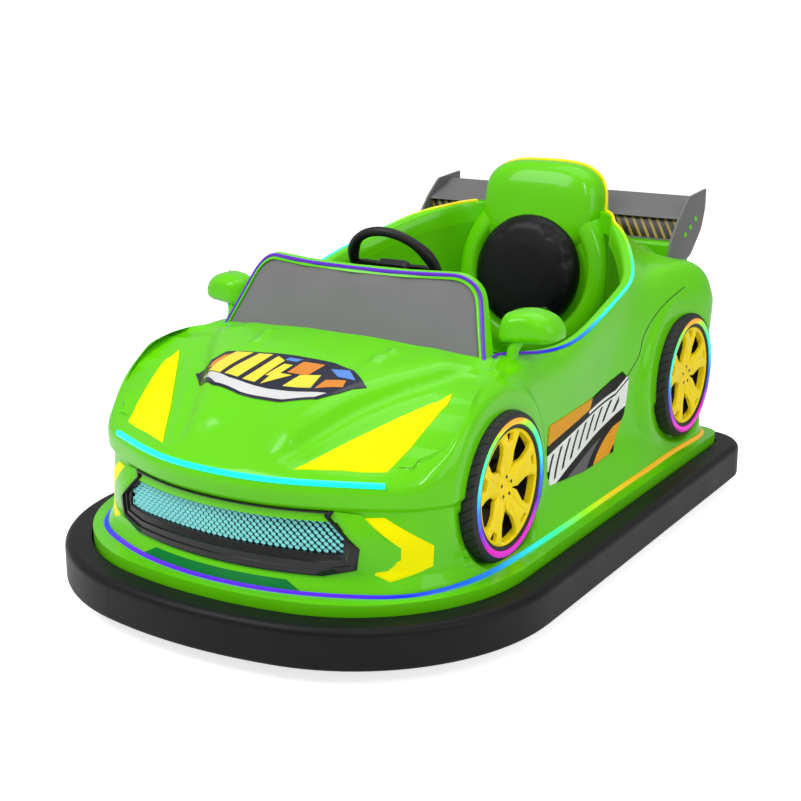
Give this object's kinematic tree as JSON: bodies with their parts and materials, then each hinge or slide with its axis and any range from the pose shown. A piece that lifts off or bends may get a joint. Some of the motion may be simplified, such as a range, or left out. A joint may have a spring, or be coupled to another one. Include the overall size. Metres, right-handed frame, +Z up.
{
  "type": "fairground bumper car",
  "caption": "Electric bumper car: sports-car body in a rubber ring, open cockpit, steered drive wheel, rear wing.",
  "frame": {"origin": "on the floor, midway along and across the whole car", "axes": "+Z up, -Y towards the nose, +X towards the driver's left"},
  "size_m": [1.31, 2.0098, 0.9469],
  "materials": {
    "body_paint": "gloss lime green gel coat",
    "bumper_rubber": "satin black rubber",
    "chassis_paint": "satin black paint",
    "bright_steel": "turned",
    "motor_case": "satin grey paint",
    "battery_case": "moulded",
    "road_wheel": "solid rubber",
    "tyre": "ribbed",
    "wheel_gold": "gloss golden yellow",
    "lamp_yellow": "bright yellow lens",
    "lamp_red": "red lens",
    "light_strip": "lit colour strip",
    "grille_black": "moulded",
    "grille_blue": "pale blue",
    "pad_vinyl": "smooth black vinyl",
    "screen_grey": "opaque grey",
    "wing_grey": "satin grey",
    "black_plastic": "moulded"
  },
  "bodies": {
    "car": {"accelerator_pedal": "black_plastic", "arrow_lights": "lamp_yellow", "axle_brackets": "chassis_paint", "back_pad": "pad_vinyl", "base_skirt": "body_paint", "battery_pack": "battery_case", "bumper_ring": "bumper_rubber", "chassis_cross_tubes": "chassis_paint", "chassis_rails": "chassis_paint", "chassis_rim": "chassis_paint", "dash_panel": "body_paint", "drive_bridge": "chassis_paint", "floor_pan": "chassis_paint", "front_shell": "body_paint", "grille_mesh": "grille_blue", "grille_surround": "grille_black", "headlights": "lamp_yellow", "mirror_left": "body_paint", "mirror_right": "body_paint", "nose_light_strip": "light_strip", "rear_axles": "bright_steel", "rear_shell": "body_paint", "rear_wing": "wing_grey", "rim_light_strip": "light_strip", "seat_back": "body_paint", "seat_base": "body_paint", "seat_cushion": "pad_vinyl", "show_rim_front_left": "wheel_gold", "show_rim_front_right": "wheel_gold", "show_rim_rear_left": "wheel_gold", "show_rim_rear_right": "wheel_gold", "show_tyre_front_left": "tyre", "show_tyre_front_right": "tyre", "show_tyre_rear_left": "tyre", "show_tyre_rear_right": "tyre", "side_panel_left": "body_paint", "side_panel_right": "body_paint", "skirt_light_strip": "light_strip", "steering_column": "black_plastic", "tail_lights": "lamp_red", "windscreen": "screen_grey", "windscreen_frame": "body_paint", "wing_beam": "body_paint", "wing_endplate_left": "wing_grey", "wing_endplate_right": "wing_grey"},
    "steering": {"steering_wheel": "black_plastic", "steering_shaft": "bright_steel"},
    "drive_unit": {"drive_fork": "chassis_paint", "drive_motor": "motor_case"},
    "drive_wheel": {"drive_wheel": "road_wheel"},
    "rear_wheel_left": {"rear_road_wheel_left": "road_wheel"},
    "rear_wheel_right": {"rear_road_wheel_right": "road_wheel"}
  },
  "joints": [
    {"name": "steering_turn", "type": "hinge", "parent": "car", "child": "steering", "pos_m": [0, -0.088, 0.748], "axis": [0, 0.848, 0.5299], "continuous": true},
    {"name": "drive_unit_turn", "type": "hinge", "parent": "car", "child": "drive_unit", "pos_m": [0, -0.46, 0.25], "axis": [0, 0, 1], "continuous": true},
    {"name": "drive_wheel_roll", "type": "hinge", "parent": "drive_unit", "child": "drive_wheel", "pos_m": [0, -0.46, 0.1], "axis": [1, 0, 0], "continuous": true},
    {"name": "rear_wheel_left_roll", "type": "hinge", "parent": "car", "child": "rear_wheel_left", "pos_m": [0.33, 0.53, 0.062], "axis": [1, 0, 0], "continuous": true},
    {"name": "rear_wheel_right_roll", "type": "hinge", "parent": "car", "child": "rear_wheel_right", "pos_m": [-0.33, 0.53, 0.062], "axis": [1, 0, 0], "continuous": true}
  ],
  "couplings": [
    {"joint": "drive_unit_turn", "follows": "steering_turn", "ratio": 1}
  ]
}
